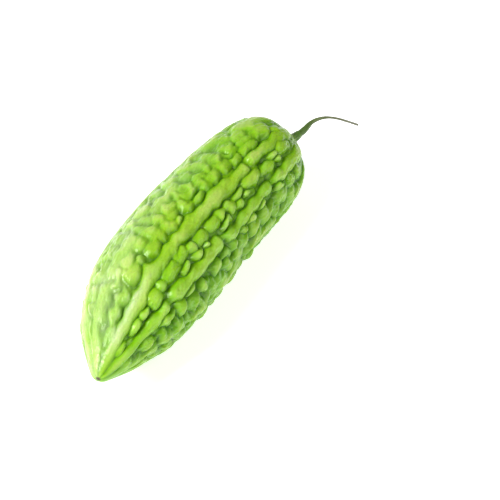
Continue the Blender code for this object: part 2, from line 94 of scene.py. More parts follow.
# The three ridges that show best: (along the axis, angle, half width) at places along each
SEEN_RIDGES = {
    2: [(0, 68, 3), (20, 64, 4), (40, 65, 5.2), (60, 68, 6), (80, 70, 6), (100, 69, 5), (120, 70, 5.4),
        (140, 69, 5), (160, 70, 5.6), (180, 70, 5), (205, 72, 5.6), (237, 70, 4)],
    3: [(0, 108, 3), (20, 111, 3.6), (30, 113.5, 3.9), (44, 113.5, 4.8), (50, 111, 4.2), (60, 109.2, 5.1),
        (66, 107.5, 5.8), (71, 110.3, 4.3), (80, 111, 4.6), (88, 109.7, 3.8), (100, 111.2, 5.1),
        (110, 111, 5.3), (120, 112, 4.2), (127, 112.7, 4.5), (134, 111.5, 5.6), (141, 112, 5.6),
        (150, 113.5, 4.6), (160, 114, 3.8), (170, 112, 4.4), (180, 112.5, 3.6), (190, 114, 4.6),
        (205, 113, 4.6), (237, 110, 4)],
    4: [(0, 150, 3), (20, 151, 3), (30, 151, 3.4), (40, 148, 4), (50, 146, 3.4), (56, 144, 3.1),
        (63, 143.5, 4.9), (72, 144.5, 4.6), (80, 146, 3.8), (88, 146, 4.4), (100, 146, 4.6),
        (111, 145, 4.8), (118, 149, 3.6), (125, 151, 3.8), (135, 149, 3.9), (150, 147.5, 3.8),
        (165, 146.5, 3.6), (172, 146, 3), (178, 147, 3.2), (188, 148, 4), (205, 147.5, 4.4), (237, 147, 4)],
}
# Notches that break a ridge into lengths: where along the axis they are, in millimetres
SEEN_NOTCHES = {1: [], 2: [50, 92, 133, 166], 3: [168], 4: [56, 115, 173], 5: [40, 62, 85, 128, 170]}
NOTCH_HALF_LENGTH = 2.6 * MM
NOTCH_DEPTH = 0.5
# The three notches of a ridge that doesn't show: where the first is, and how much further the others are
FIRST_NOTCH = (45, 95)
SECOND_NOTCH_STEP = (40, 60)
THIRD_NOTCH_STEP = 100

# Beads: the warts between the ridges. These are the ones that show: (along, round, half length, half width)
SEEN_BEADS = [
    # left of the top ridge
    (23, 95, 6.6, 3.2), (33, 90, 7, 3.4), (43.5, 94, 6.6, 4.2), (56.5, 88.5, 7, 5.6), (66, 92, 3.6, 2.8),
    (77.5, 94.5, 6, 4.7), (86.5, 92.5, 5.2, 4.8), (96, 94.5, 5.2, 4.6), (104, 90, 4.8, 3.6),
    (103, 99, 4.4, 2.4), (114.8, 93, 5.2, 4.9), (125, 99, 6, 2.9), (126.5, 89, 5.6, 3.4),
    (135.5, 93, 4.6, 4.8), (145, 94.5, 5.6, 4.8), (156, 94, 5.4, 4.8), (165.5, 98.5, 4.8, 3.8),
    (169, 91, 6.4, 2.4), (179.5, 99.5, 8.6, 3.6), (183, 91.5, 7, 2.6), (198, 93, 8.4, 6),
    (209, 103, 4.6, 3), (52, 77, 5, 2.4), (64, 80, 5, 3), (76, 82, 5.4, 3), (88, 82.5, 4.8, 3.4),
    (97.5, 82.5, 4.4, 3.8), (108, 81.5, 4.8, 3.6), (119.5, 81.5, 4.8, 3.6), (129.5, 81, 4.6, 3.6),
    (139.5, 83.5, 4.4, 3.4), (149, 82, 4.8, 3.6), (159.5, 83.5, 5, 3.6), (171, 82.5, 5.2, 3.6),
    (184, 82, 5.8, 3.8), (197, 80, 5.6, 3.4), (92, 58, 5.6, 4), (104, 56, 5, 3.6), (131, 58, 6, 4),
    (147, 57, 5.6, 4.2), (176, 58, 6.4, 4),
    # between the two ridges that face the viewer
    (18, 130, 4.6, 2.3), (31, 130, 6, 2.8), (40, 128.5, 4, 2.6), (50.5, 127, 6, 5.4), (59, 124.5, 4, 3.6),
    (70, 124, 8.6, 4.6), (79.5, 134.5, 4.6, 2.8), (84.5, 122, 6.8, 4.4), (92.5, 134.5, 4.6, 2.6),
    (92.5, 126, 3.8, 3.4), (103, 127.5, 6.4, 4.6), (102, 137, 3.4, 1.5), (116, 127.5, 5.6, 4),
    (125.5, 126.5, 5.2, 3.4), (124.5, 138, 6, 2.5), (135, 129, 4.6, 3.8), (142, 135.5, 4.6, 2.9),
    (146, 127, 6, 2.4), (152, 133.5, 3.6, 1.8), (162, 126, 8.4, 3.9), (178, 131, 7.6, 3.2),
    (190, 132, 3.4, 2), (188, 125, 5, 2.2), (200, 126, 8.5, 4.2),
    # right of them
    (16, 172, 4.4, 2.4), (31, 169.5, 7, 3.8), (43, 176, 4.4, 5.4), (48.5, 158, 6, 3), (54, 176, 5.6, 4.6),
    (61, 160, 5.6, 4.6), (66, 181, 5, 4), (72, 154.5, 4.4, 1.9), (71.5, 169, 5.8, 4.8),
    (83, 162.5, 5.2, 4.4), (80, 179, 6, 4.4), (93, 175, 8, 5.4), (99.5, 160.5, 6.2, 3.6),
    (103, 183, 7, 4.6), (110, 170.5, 5.2, 3.8), (111.5, 159.5, 5, 2.9), (121, 161.5, 4.8, 3.8),
    (121, 174, 6, 4.8), (134.5, 158, 3.8, 2.2), (131, 169, 5.6, 5), (144, 167.5, 5.8, 5.2),
    (144, 156.5, 4.4, 2.4), (139, 182, 6, 4), (157, 155.5, 4.4, 2.3), (157.5, 167, 8.4, 5.2),
    (150, 182, 6, 4.4), (168, 178, 6, 4.6), (176, 167, 8.6, 5), (177, 156.5, 6, 2.2), (190.5, 163, 6, 4.6),
    (188, 179, 6, 4.6), (203, 164, 5.6, 4.6),
]
SEEN_VALLEYS = (2, 3, 4)
# How much larger than they show the beads are under the folds between them, and how high they stand
BEAD_GROWTH = 1.08
SEEN_BEAD_HEIGHTS = (0.84, 1.0)
# Hollows where the skin dips more than the beads alone make it, given in the same way, and how far it dips
SEEN_HOLLOWS = [
    (24, 75, 7, 2.4), (38, 81, 6, 1.8), (48, 93, 2.6, 3.2), (69, 98, 3, 3.4), (108.5, 96, 2.6, 2.8),
    (119, 58, 6, 3), (127, 94, 6, 1.2), (133, 74, 4.4, 3), (166, 92, 5.4, 1.6), (168, 68, 6, 4),
    (84, 72, 3, 3), (101, 68, 3, 2.6), (115.5, 76.5, 3.4, 2.2), (144, 73, 2.6, 3), (154, 64, 3.4, 2.4),
    (185, 70, 3.4, 3), (193.5, 104, 4, 2.4), (50, 169, 2, 4), (81, 173, 3, 3), (116, 151.5, 2.6, 3),
    (192, 24, 12, 11),
]
HOLLOW_DEPTH = 0.5
# The other beads, in a string along each valley: where the strings start and end, and each bead's length, its
# share of the valley's width, its greatest half width, how far it is pushed to one side of the valley, and
# its height, with the share of that which a short bead keeps and the length from which it is full height.
# Last, the least that counts as half of a valley's width
BEADS_START = 13 * MM
BEADS_END = 214 * MM
BEAD_LENGTH = (8 * MM, 16 * MM)
BEAD_WIDTH_SHARES = (0.8, 1.05)
BEAD_WIDEST = 5.4 * MM
BEAD_PUSH = (0.5, 1.1)
BEAD_HEIGHTS = (0.8, 1.0)
SHORT_BEAD_SHARE = 0.75
FULL_BEAD_LENGTH = 12 * MM
LEAST_ROOM = 0.4 * MM
# The small beads beside them, given in the same way, and how far apart they are in their own lengths
SMALL_BEADS_START = BEADS_START + 24 * MM
SMALL_BEAD_LENGTH = (6 * MM, 11 * MM)
SMALL_BEAD_HALF_WIDTH = (2.4 * MM, 3.4 * MM)
SMALL_BEAD_WIDEST_SHARE = 0.6
SMALL_BEAD_PUSH = 0.75
SMALL_BEAD_HEIGHTS = (0.62, 0.85)
SMALL_BEAD_STEPS = (1.0, 1.5)
SEED = 7

# Grains: small close-set warts on the valley floors. Their pitch along the fruit, how many go round it, how
# far each strays from the middle of its cell and reaches, in cells, and how high it stands, with the spread
# of the last two
GRAIN_PITCH = 7.2 * MM
GRAINS_ROUND = 31
GRAIN_SHIFT = 0.24
GRAIN_REACH = 0.68
GRAIN_REACH_SPREAD = 0.2
GRAIN_HEIGHT = 0.4
GRAIN_HEIGHT_SPREAD = 0.1

# Ripples: fine unevenness over ridges and beads alike. Their height, pitch along the fruit, number round
# it, how many kinds are laid over each other, and the fruit's radius from which they have all that height
RIPPLE_HEIGHT = 0.1 * MM
RIPPLE_PITCH = (3 * MM, 30 * MM)
RIPPLES_ROUND = (10, 80)
RIPPLE_KINDS = 60
RIPPLE_FULL_RADIUS = 30 * MM

# Gentle waves that keep ridges and beads from being regular: how far they shift the beads, over what length
# that fades in at the tip, how much more they shift them on the soft side and underneath, the share by which
# they shift the ridges, their least and greatest length and number of turns, and how many there are
WAVE_SHIFT = 0.5 * MM
WAVE_FADE = (5 * MM, 40 * MM)
SOFT_WAVE_GAIN = 0.8
UNDER_WAVE_GAIN = 0.8
RIDGE_WAVE_SHARE = 0.8
WAVE_LENGTH = (9 * MM, 24 * MM)
WAVE_TURNS = (2, 20)
WAVES = 12

# How many steps the smooth curves take from one given point to the next
PROFILE_STEPS = 24
AXIS_STEPS = 12
RIDGE_STEPS = 8
SEEN_RIDGE_STEPS = 6
# The fine mesh: how many points there are to a ring, and how many steps from ring to ring
FINE_SEGMENTS = 480
FINE_RINGS = 560
# Near the tip, where a degree round the fruit is shorter than these lengths, it counts as that long: for the
# relief, and for how far a shift turns it
LEAST_PER_DEGREE = 0.02 * MM
LEAST_PER_DEGREE_TURNED = 0.1 * MM
# How many points to each side a place is set against to tell whether it lies in a crease, the depth that
# counts, and the share of it by which a crest stands out before it counts as one
HOLLOW_REACH = 3
HOLLOW_SCALE = 0.65 * MM
CREST_START = 0.1

# Where the skin's colour changes: the blossom scar at the tip, and the neck that turns into the stem
SCAR_FADE = (1.9 * MM, 1.0 * MM)
NECK_COLOUR_FADE = (15 * MM, 7 * MM)
# The paler side of the skin, partly its own paler colour and partly painted sheen where the light falls: its
# angle round the fruit, how far it reaches, how much further near the tip, the share of that reach which is
# palest, and the lengths over which the further reach and the paleness fade
PALE_SIDE = 40
PALE_REACH = 60
PALE_TIP_REACH = 34
PALE_MIDDLE = 0.2
PALE_TIP_FADE = (30 * MM, 90 * MM)
PALE_FADE = (60 * MM, 230 * MM)
PALE_FADE_SHARE = 0.6
# A painted sheen, whitish, on the top ridge's flank near the tip: its angle round the fruit, its half width,
# the lengths over which it fades in and out, and the height of the relief from which it shows
SHEEN_FLANK = 105.5
SHEEN_FLANK_HALF_WIDTH = 3 * MM
SHEEN_FLANK_START = (10 * MM, 26 * MM)
SHEEN_FLANK_END = (40 * MM, 90 * MM)
SHEEN_FLANK_HEIGHT = (0.55, 0.9)
# How much whitish bloom and painted sheen there is: on crests, on the pale side, on its crests as well, and
# the painted sheen on the top ridge's flank
CREST_BLOOM_AND_SHEEN = 0.18
PALE_BLOOM_AND_SHEEN = 0.28
PALE_CREST_BLOOM_AND_SHEEN = 0.4
PAINTED_FLANK_SHEEN = 0.5
# How much less the creases' painted shade darkens them on the pale side, and how much more it does underneath
PALE_CREASE_LOSS = 0.75
UNDER_CREASE_SHADE_GAIN = 0.4

# The skin's colour from the bottom of a crease, 0, to the top of a ridge, 1: linear red, green and blue.
# The dark end is partly the skin's own deeper green in the creases and partly painted shade there
SKIN_AND_CREASE_SHADE_COLOURS = [
    (0.0, (0.085, 0.220, 0.0)),
    (0.35, (0.130, 0.310, 0.0)),
    (0.60, (0.195, 0.412, 0.0)),
    (0.80, (0.252, 0.482, 0.008)),
    (0.92, (0.332, 0.548, 0.040)),
    (1.0, (0.425, 0.590, 0.105)),
]
# What multiplies it in patches, in streaks, in creases, where it is partly a deeper green and partly painted
# shade, and underneath, where it is painted shade
PATCH_TINT = (0.86, 1.0, 0.72)
STREAK_TINT = (0.84, 0.90, 0.66)
CREASE_TINT_AND_SHADE = (0.42, 0.58, 0.0)
UNDER_SHADE_TINT = (0.74, 0.84, 0.30)
# What covers it where there is bloom and painted sheen, at the neck and on the scar
BLOOM_AND_SHEEN_COLOUR = (0.62, 0.65, 0.50)
NECK_COLOUR = (0.105, 0.205, 0.035)
SCAR_COLOUR = (0.075, 0.060, 0.022)
# The size of the patches, of the breaks in the bloom and painted sheen, of the streaks and of the changes
# in gloss, and how strong bloom and sheen, streaks, and the creases' deeper green and painted shade are at
# their least and most
PATCH_SIZE = 26 * MM
BLOOM_AND_SHEEN_SIZE = 7 * MM
STREAK_SIZE = 1.3 * MM
GLOSS_SIZE = 5 * MM
BLOOM_AND_SHEEN_STRENGTH = (0.45, 1.25)
STREAK_STRENGTH = (0, 0.5)
CREASE_STRENGTH = (0, 0.9)
# The values of noise, and of the hollow of a crease, from which and up to which they count
NOISE_RANGE = (0.3, 0.7)
PATCH_RANGE = (0.35, 0.65)
CREASE_RANGE = (0.05, 0.9)
# The skin's own low swells and fine pores: their size and depth
SWELL_SIZE = 2.6 * MM
SWELL_DEPTH = 0.6 * MM
PORE_SIZE = 0.9 * MM
PORE_DEPTH = 0.08 * MM
SKIN_ROUGHNESS = (0.25, 0.38)
SKIN_SPECULAR = 0.45
SKIN_SPECULAR_TINT = (0.88, 1.0, 0.72, 1)
SKIN_SUBSURFACE = 0.35
SKIN_SUBSURFACE_RADIUS = (0.5, 1.0, 0.15)
SKIN_SUBSURFACE_SCALE = 2 * MM

# Stem: its path beyond the neck and its radius there, in millimetres, the gap from the neck's end to where
# they start, and how deep its root reaches into the neck
STEM_PATH = [(0, 0, 0), (5.3, -1.2, 0.2), (12.7, -2.1, 0.6), (18, -4.8, 0.8), (22.7, -8.8, 0.2),
             (26.3, -14.3, -1.2), (29.1, -20.5, -3.4), (32.2, -26.9, -6.2)]
STEM_RADII = [2.3, 2.0, 1.5, 1.05, 0.8, 0.7, 0.68, 0.72]
STEM_FIT_GAP = 0.3 * MM
STEM_ROOT_DEPTH = 1.5 * MM
STEM_SEGMENTS = 40
STEM_STEPS = 22
# Its ribs, large and fine: how many there are, how far they twist over its length, the height of the large
# ones as a share of the radius, that of the fine ones as a share of this, and what share of all that there is
# at the root and how fast it grows from there
STEM_RIBS = 5
STEM_RIB_TWIST = 1.5
STEM_RIB_HEIGHT = 0.07
STEM_FINE_RIBS = 9
STEM_FINE_RIB_TWIST = 2
STEM_FINE_RIB_SHARE = 0.5
STEM_ROOT_RIB_SHARE = 0.3
STEM_RIB_GROWTH = 3
# Its thicker and thinner places: each wave's height as a share of the radius, and its length
STEM_SWELLS = [(0.04, 2.3 * MM), (0.03, 1.1 * MM)]
# Its cut end: the width of the rim and the depth of the hollow inside it, as shares of the radius
STEM_END_RIM = 0.25
STEM_END_HOLLOW = 0.2
# Its colour from the root, 0, to the cut end, 1, what multiplies it on the fibres and, as painted shade, in
# the grooves between the ribs, and the fibres' size and depth
STEM_COLOURS = [
    (0.0, NECK_COLOUR),
    (0.2, (0.110, 0.195, 0.032)),
    (0.45, (0.165, 0.205, 0.080)),
    (0.65, (0.170, 0.180, 0.095)),
    (1.0, (0.230, 0.225, 0.180)),
]
FIBRE_TINT = (0.55, 0.60, 0.42)
GROOVE_SHADE_TINT = (0.70, 0.72, 0.60)
GROOVE_SHADE_STRENGTH = 0.5
FIBRE_SIZE = 0.5 * MM
FIBRE_DEPTH = 0.12 * MM
STEM_ROUGHNESS = (0.5, 0.68)

# Camera: where it looks from, in degrees and metres, the point on the fruit's plan that it turns about, in
# millimetres, and how far to its own right of that point it aims
CAMERA_MIDDLE = (115, 0)
CAMERA_AZIMUTH = -60
CAMERA_ELEVATION = 45
CAMERA_DISTANCE = 0.90
CAMERA_LENS_MM = 109.7
CAMERA_SENSOR_MM = 36
CAMERA_AIM_RIGHT = 29 * MM

# Studio: each light's name, its direction from the fruit (towards the camera, to the camera's right, up), its
# distance and size in metres, and its power in watts. The floor and the world add light of their own
LIGHTS = [
    ("key", (0.75, -1.0, 0.6), 1.3, 0.6, 23),
    ("rim", (-0.6, -0.5, 0.5), 1.6, 1.2, 3),
    ("fill", (0.7, 1.0, 0.4), 1.5, 1.2, 10),
]
FLOOR_SIZE = 6
FLOOR_COLOUR = (0.95, 0.95, 0.95, 1)
FLOOR_ROUGHNESS = 0.9
FLOOR_GLOW = 0.6
WORLD_STRENGTH = 0.18
WHITE = (1, 1, 1, 1)


def smooth_curve(points, steps):
    """Points on a Catmull-Rom curve through the given ones, with so many steps between each two."""
    points = np.asarray(points, float)
    ends = np.vstack([2 * points[0] - points[1], points, 2 * points[-1] - points[-2]])
    t = np.linspace(0, 1, steps, endpoint=False)[:, None]
    spans = []
    for a, b, c, d in zip(ends[:-3], ends[1:-2], ends[2:-1], ends[3:]):
        spans.append(0.5 * (2 * b + (c - a) * t + (2 * a - 5 * b + 4 * c - d) * t**2
                            + (3 * b - a - 3 * c + d) * t**3))
    return np.vstack([*spans, points[-1:]])


def smooth_step(low, high, value):
    """0 before low, 1 after high and a smooth rise between, or the other way round if low is above high."""
    t = np.clip((value - low) / (high - low), 0, 1)
    return t * t * (3 - 2 * t)


def turned(degrees):
    """An angle brought to between -180 and 180 degrees."""
    return (degrees + 180) % 360 - 180


class Skin:
    """The skin over the ridge tops, as a turned profile measured along its own length."""

    def __init__(self):
        profile = np.vstack([smooth_curve(SKIN_PROFILE, PROFILE_STEPS) * MM, (NECK_END, 0)])
        steps = np.linalg.norm(np.diff(profile, axis=0), axis=1)
        self.along = np.concatenate([[0], np.cumsum(steps)])
        self.length = self.along[-1]
        self.axial, self.radius = profile.T
        slope = np.gradient(profile, self.along, axis=0)
        self.out_axial, self.out_radial = -slope[:, 1], slope[:, 0]

    def at(self, along):
        """Distance along the axis, radius, and the outward direction's two parts, at each distance along."""
        rows = (self.axial, self.radius, self.out_axial, self.out_radial)
        return [np.interp(along, self.along, row) for row in rows]


def softness(degrees):
    """1 in the middle of the soft side, and 0 off it."""
    return 1 - smooth_step(*SOFT_SIDE_FADE, np.abs(turned(degrees - SOFT_SIDE)) / SOFT_SIDE_REACH)


def underness(degrees):
    """1 in the middle of the underside, and 0 off it."""
    return 1 - smooth_step(*UNDER_SIDE_FADE, np.abs(turned(degrees - UNDER_SIDE)) / UNDER_SIDE_REACH)


def crease_depth(along, degrees, length):
    """How deep the creases go at each place: less towards the tip, on the soft side and at the neck."""
    left = length - along
    at_side = 1 - (1 - SOFT_SIDE_SHARE) * softness(degrees)
    at_tip = TIP_CREASE_SHARE + (1 - TIP_CREASE_SHARE) * smooth_step(*TIP_FADE, along)
    at_shoulder = NECK_CREASE_SHARE + (1 - NECK_CREASE_SHARE) * (1 - smooth_step(*SHOULDER_FADE, left))
    return CREASE_DEPTH * at_side * at_tip * at_shoulder * (1 - smooth_step(*NECK_FADE, left))


class Ridge:
    """One ridge from the blossom tip to the neck, which strays from its angle and swells and narrows."""

    def __init__(self, index, length, draw):
        strays = [draw.gauss(0, RIDGE_WANDER) for _ in range(int(length / RIDGE_WANDER_STEP) + 2)]
        widths = [draw.uniform(*RIDGE_WIDTH_SPREAD) for _ in range(int(length / RIDGE_WIDTH_STEP) + 2)]
        heights = [draw.uniform(*RIDGE_HEIGHT_SPREAD) for _ in widths]
        first = draw.uniform(*FIRST_NOTCH)
        drawn = [first, first + draw.uniform(*SECOND_NOTCH_STEP), first + THIRD_NOTCH_STEP]
        self.notches = [place * MM for place in SEEN_NOTCHES.get(index, drawn)]
        half_width = RIDGE_HALF_WIDTH * RIDGE_WIDTH_SHARES.get(index, 1)
        self.centres = self.course(RIDGE_WANDER_STEP, [RIDGE_ANGLES[index] + stray for stray in strays])
        self.half_widths = self.course(RIDGE_WIDTH_STEP, [half_width * width for width in widths])
        self.heights = self.course(RIDGE_WIDTH_STEP, heights)
        if index in SEEN_RIDGES:
            seen = smooth_curve(SEEN_RIDGES[index], SEEN_RIDGE_STEPS)
            self.centres = seen[:, 0] * MM, seen[:, 1]
            self.half_widths = seen[:, 0] * MM, seen[:, 2] * MM

    @staticmethod
    def course(step, values):
        """A smooth run of values at even steps along the axis, as places and values to read between."""
        points = [[place * step, value] for place, value in enumerate(values)]
        curve = smooth_curve(points, RIDGE_STEPS)
        return curve[:, 0], curve[:, 1]

    def centre(self, axial):
        return np.interp(axial, *self.centres)

    def half_width(self, axial):
        return np.interp(axial, *self.half_widths)

    def height(self, axial):
        whole = np.interp(axial, *self.heights)
        for place in self.notches:
            whole = whole * (1 - NOTCH_DEPTH * np.exp(-(((axial - place) / NOTCH_HALF_LENGTH) ** 2)))
        return whole


def make_ridges(length):
    draw = random.Random(SEED)
    return [Ridge(index, length, draw) for index in range(len(RIDGE_ANGLES))]


def string_beads(index, ridges, skin):
    """The beads of the valley after a ridge: (along, round, half length, half width, height) of each."""
    draw = random.Random(SEED * 100 + index)
    lower, upper = ridges[index], ridges[(index + 1) % len(ridges)]
    lean = draw.choice((-1, 1))
    end = min(BEADS_END, skin.length)
    beads = []

    def valley(along):
        """The valley's middle in degrees, its half width, and metres per degree, all at one place."""
        axial, radius = (float(value) for value in skin.at(along)[:2])
        start = lower.centre(axial)
        across = turned(upper.centre(axial) - start) % 360
        per_degree = math.radians(1) * radius
        lower_half, upper_half = lower.half_width(axial), upper.half_width(axial)
        clear = across * per_degree - lower_half - upper_half
        middle = start + across / 2 + (lower_half - upper_half) / 2 / per_degree
        return middle, max(clear / 2, LEAST_ROOM), per_degree

    place = BEADS_START
    while place < end:
        length = draw.uniform(*BEAD_LENGTH)
        along = place + length / 2
        middle, room, per_degree = valley(along)
        half_width = min(room * draw.uniform(*BEAD_WIDTH_SHARES), BEAD_WIDEST)
        aside = lean * (room - half_width) * draw.uniform(*BEAD_PUSH)
        height = draw.uniform(*BEAD_HEIGHTS)
        height *= SHORT_BEAD_SHARE + (1 - SHORT_BEAD_SHARE) * min(1, length / FULL_BEAD_LENGTH)
        beads.append((along, middle + aside / per_degree, length / 2, half_width, height))
        place += length

    place = SMALL_BEADS_START
    while place < end:
        length = draw.uniform(*SMALL_BEAD_LENGTH)
        along = place + length / 2
        middle, room, per_degree = valley(along)
        half_width = min(draw.uniform(*SMALL_BEAD_HALF_WIDTH), room * SMALL_BEAD_WIDEST_SHARE)
        aside = -lean * (room - half_width * SMALL_BEAD_PUSH)
        height = draw.uniform(*SMALL_BEAD_HEIGHTS)
        beads.append((along, middle + aside / per_degree, length / 2, half_width, height))
        place += length * draw.uniform(*SMALL_BEAD_STEPS)
    return beads


def make_beads(ridges, skin):
    draw = random.Random(SEED * 7)
    beads = []
    for axial, angle, half_length, half_width in SEEN_BEADS:
        along = np.interp(axial * MM, skin.axial, skin.along)
        size = BEAD_GROWTH * MM
        height = draw.uniform(*SEEN_BEAD_HEIGHTS)
        beads.append((along, angle, half_length * size, half_width * size, height))
    for index in range(len(ridges)):
        if index not in SEEN_VALLEYS:
            beads += string_beads(index, ridges, skin)
    return beads


def dome(distance):
    """A round-topped height at a distance from its middle, where 1 is the dome's edge and a crease's line."""
    return np.maximum(1 - (np.abs(distance) / DOME_REACH) ** DOME_ROUNDNESS, 0) ** DOME_POWER


def grains(along, degrees, skin):
    """Small close-set warts, one to each cell of an uneven grid, which fill what the others leave bare."""
    rows = int(skin.length / GRAIN_PITCH)
    draw = np.random.default_rng(SEED)
    shift_along, shift_round, size, height = draw.uniform(-1, 1, (4, rows + 2, GRAINS_ROUND))
    row_place = along / skin.length * rows
    round_place = np.mod(degrees, 360) / 360 * GRAINS_ROUND
    tallest = np.zeros_like(along)
    for row_step in (-1, 0, 1):
        row = np.clip(np.floor(row_place).astype(int) + row_step, 0, rows + 1)
        stagger = 0.5 * (row % 2)
        for round_step in (-1, 0, 1):
            column = np.floor(round_place - stagger).astype(int) + round_step
            cell = (row, column % GRAINS_ROUND)
            lengthwise = row_place - (row + 0.5 + GRAIN_SHIFT * shift_along[cell])
            across = round_place - stagger - (column + 0.5 + GRAIN_SHIFT * shift_round[cell])
            reach = GRAIN_REACH * (1 + GRAIN_REACH_SPREAD * size[cell])
            wart = GRAIN_HEIGHT + GRAIN_HEIGHT_SPREAD * height[cell]
            tallest = np.maximum(tallest, wart * dome(np.hypot(lengthwise, across) / reach))
    return tallest


def waves(along, degrees):
    """A gentle seeded shift of the skin's pattern, lengthwise and crosswise, in metres."""
    draw = random.Random(SEED * 31)
    shifts = [np.zeros_like(along), np.zeros_like(along)]
    for shift in shifts:
        for _ in range(WAVES):
            pitch = draw.uniform(*WAVE_LENGTH)
            turns = draw.randint(*WAVE_TURNS)
            phase = draw.uniform(0, 2 * math.pi)
            shift += WAVE_SHIFT * np.sin(2 * math.pi * along / pitch + turns * np.radians(degrees) + phase)
        shift *= math.sqrt(2 / WAVES)
    return shifts


def relief(along, degrees, skin):
    """How high the skin stands at each place, as a share: 0 in a crease, and about 1 on a ridge."""
    axial, radius = skin.at(along)[:2]
    per_degree = np.maximum(np.radians(1) * radius, LEAST_PER_DEGREE)
    lengthwise_shift, crosswise_shift = waves(along, degrees)
    soft, under = softness(degrees), underness(degrees)
    fade = smooth_step(*WAVE_FADE, along) * (1 + SOFT_WAVE_GAIN * soft + UNDER_WAVE_GAIN * under)
    turn = crosswise_shift * fade / np.maximum(per_degree, LEAST_PER_DEGREE_TURNED)
    ridges = make_ridges(skin.length)
    power = UNION_POWER + (SOFT_UNION_POWER - UNION_POWER) * soft + (UNDER_UNION_POWER - UNION_POWER) * under
    total = np.zeros_like(along)
    for ridge in ridges:
        reach = np.minimum(ridge.half_width(axial), 180 / len(ridges) * per_degree * RIDGE_CROWDING)
        across = turned(degrees + turn * RIDGE_WAVE_SHARE - ridge.centre(axial)) * per_degree
        total += (ridge.height(axial) * dome(across / reach)) ** power
    along = along + lengthwise_shift * fade
    degrees = degrees + turn
    total += grains(along, degrees, skin) ** power
    for place, angle, half_length, half_width, height in make_beads(ridges, skin):
        near = np.abs(along - place) < half_length * DOME_REACH
        lengthwise = (along[near] - place) / half_length
        across = turned(degrees[near] - angle) * per_degree[near] / half_width
        total[near] += (height * dome(np.hypot(lengthwise, across))) ** power[near]
    raised = np.minimum(total ** (1 / power), TALLEST)
    for place, angle, half_length, half_width in SEEN_HOLLOWS:
        lengthwise = (along - np.interp(place * MM, skin.axial, skin.along)) / (half_length * MM)
        across = turned(degrees - angle) * per_degree / (half_width * MM)
        raised = raised * (1 - HOLLOW_DEPTH * np.exp(-(lengthwise**2) - across**2))
    return raised


def ripples(along, degrees, radius):
    """The skin's fine unevenness at each place, in metres, which is less where the fruit is slim."""
    draw = random.Random(SEED * 53)
    total = np.zeros_like(along)
    for _ in range(RIPPLE_KINDS):
        pitch = draw.uniform(*RIPPLE_PITCH) * draw.choice((-1, 1))
        turns = draw.randint(*RIPPLES_ROUND)
        phase = draw.uniform(0, 2 * math.pi)
        total += np.sin(2 * math.pi * along / pitch + turns * np.radians(degrees) + phase)
    fade = np.clip(radius / RIPPLE_FULL_RADIUS, 0, 1) ** 2
    return RIPPLE_HEIGHT * math.sqrt(2 / RIPPLE_KINDS) * total * fade


def smoothed(grid, reach):
    """A grid of rings averaged over so many cells to each side, round the rings and from ring to ring."""
    steps = range(-reach, reach + 1)
    rows = np.arange(len(grid))
    grid = sum(np.roll(grid, step, axis=1) for step in steps) / len(steps)
    return sum(grid[np.clip(rows + step, 0, len(rows) - 1)] for step in steps) / len(steps)


def bow(axial):
    """How far the axis lies to the +Y side at each distance along it, and its slope there."""
    along, across = smooth_curve(AXIS_LINE, AXIS_STEPS).T * MM
    return np.interp(axial, along, across), np.interp(axial, along, np.gradient(across, along))


def place_on_axis(axial, radius, degrees):
    """World points at those distances along the bowed axis, radii and angles round it."""
    across, slope = bow(axial)
    size = np.hypot(1, slope)
    angle = np.radians(degrees)
    sideways = radius * np.cos(angle)
    return np.stack([
        axial - REST_ALONG_AXIS - sideways * slope / size,
        across - REST_ACROSS_AXIS + sideways / size,
        AXIS_HEIGHT + radius * np.sin(angle),
    ], axis=-1)


def fruit_faces():
    """The faces between the rings of the fruit's skin, and the fans that close it at the tip and the neck."""
    tip = (FINE_RINGS - 1) * FINE_SEGMENTS
    neck = tip + 1
    last_ring = tip - FINE_SEGMENTS
    first = np.arange(FINE_SEGMENTS)
    following = np.roll(first, -1)
    band = np.stack([first, following, following + FINE_SEGMENTS, first + FINE_SEGMENTS], axis=1)
    band_starts = np.arange(FINE_RINGS - 2)[:, None, None] * FINE_SEGMENTS
    faces = (band[None] + band_starts).reshape(-1, 4).tolist()
    faces += [(tip, b, a) for a, b in zip(first, following)]
    faces += [(neck, last_ring + a, last_ring + b) for a, b in zip(first, following)]
    return faces


def skin_values(along, degrees, radius, height, hollow, length):
    """What the skin's material reads at each point: where its colour changes, and by how much."""
    pale_reach = PALE_REACH + PALE_TIP_REACH * (1 - smooth_step(*PALE_TIP_FADE, along))
    off_pale = np.minimum(np.abs(turned(degrees - PALE_SIDE)) / pale_reach, 1)
    pale = 1 - smooth_step(PALE_MIDDLE, 1, off_pale)
    pale *= 1 - PALE_FADE_SHARE * smooth_step(*PALE_FADE, along)
    # a painted sheen on the top ridge's flank near the tip
    off_flank = turned(degrees - SHEEN_FLANK) * np.radians(1) * radius / SHEEN_FLANK_HALF_WIDTH
    flank = smooth_step(*SHEEN_FLANK_START, along) * (1 - smooth_step(*SHEEN_FLANK_END, along))
    flank *= smooth_step(*SHEEN_FLANK_HEIGHT, height)
    # whitish bloom on crests and the pale side: partly the skin's own paler colour, partly painted sheen
    crest = np.clip(-hollow - CREST_START, 0, 1)
    bloom_and_sheen = CREST_BLOOM_AND_SHEEN * crest + pale * (PALE_BLOOM_AND_SHEEN + PALE_CREST_BLOOM_AND_SHEEN * crest)
    bloom_and_sheen += PAINTED_FLANK_SHEEN * flank * np.exp(-(off_flank**2))
    # painted shade: over the far side and underside, and more in the creases there, less in the creases on
    # the lit pale side
    under = underness(degrees)
    return {
        "height": height,
        "hollow": hollow * (1 - PALE_CREASE_LOSS * pale + UNDER_CREASE_SHADE_GAIN * under),
        "under": under,
        "scar": smooth_step(*SCAR_FADE, along),
        "neck": 1 - smooth_step(*reversed(NECK_COLOUR_FADE), length - along),
        "bloom_and_sheen": bloom_and_sheen,
    }


